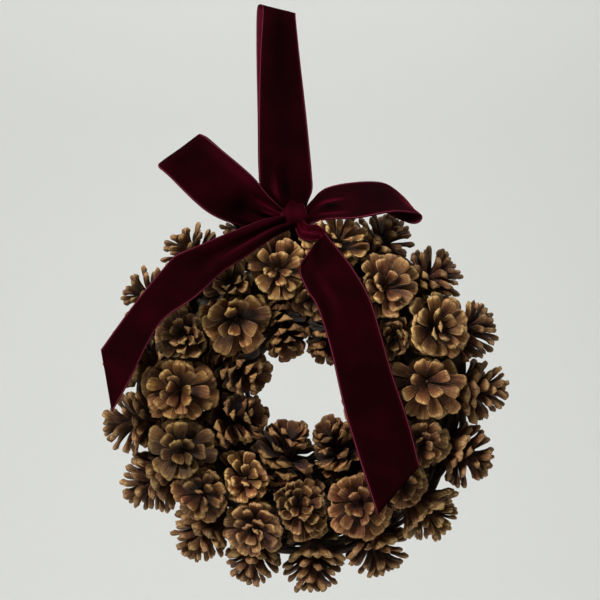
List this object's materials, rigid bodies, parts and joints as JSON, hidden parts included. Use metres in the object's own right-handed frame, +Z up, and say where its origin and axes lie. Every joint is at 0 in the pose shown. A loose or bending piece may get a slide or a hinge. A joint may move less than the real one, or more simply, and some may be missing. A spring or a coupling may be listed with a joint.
{
  "type": "pinecone wreath",
  "caption": "Round wreath of open pinecones on a ring of vine, with a velvet ribbon bow and a long ribbon loop to hang it by.",
  "frame": {"origin": "inside the top of the ribbon loop, where a hook carries the wreath", "axes": "+Z up along the hanging ribbon, -Y out of the wreath's front, +X to the right seen from the front"},
  "size_m": [0.3625, 0.1083, 0.5284],
  "materials": {
    "cone_scales": "matte",
    "vine_bark": "matte",
    "burgundy_velvet": "velvet"
  },
  "bodies": {
    "root": {"cone_front_01": "cone_scales", "cone_front_02": "cone_scales", "cone_front_03": "cone_scales", "cone_front_04": "cone_scales", "cone_front_05": "cone_scales", "cone_front_06": "cone_scales", "cone_front_07": "cone_scales", "cone_front_08": "cone_scales", "cone_front_09": "cone_scales", "cone_front_10": "cone_scales", "cone_front_11": "cone_scales", "cone_front_12": "cone_scales", "cone_front_13": "cone_scales", "cone_front_14": "cone_scales", "cone_front_15": "cone_scales", "cone_front_16": "cone_scales", "cone_front_17": "cone_scales", "cone_front_18": "cone_scales", "cone_front_19": "cone_scales", "cone_front_20": "cone_scales", "cone_outer_01": "cone_scales", "cone_outer_02": "cone_scales", "cone_outer_03": "cone_scales", "cone_outer_04": "cone_scales", "cone_outer_05": "cone_scales", "cone_outer_06": "cone_scales", "cone_outer_07": "cone_scales", "cone_outer_08": "cone_scales", "cone_outer_09": "cone_scales", "cone_outer_10": "cone_scales", "cone_outer_11": "cone_scales", "cone_outer_12": "cone_scales", "cone_outer_13": "cone_scales", "cone_outer_14": "cone_scales", "cone_outer_15": "cone_scales", "cone_outer_16": "cone_scales", "cone_inner_01": "cone_scales", "cone_inner_02": "cone_scales", "cone_inner_03": "cone_scales", "cone_inner_04": "cone_scales", "cone_inner_05": "cone_scales", "cone_inner_06": "cone_scales", "cone_inner_07": "cone_scales", "cone_inner_08": "cone_scales", "vine_ring": "vine_bark", "hanging_ribbon": "burgundy_velvet", "bow": "burgundy_velvet"}
  },
  "joints": []
}
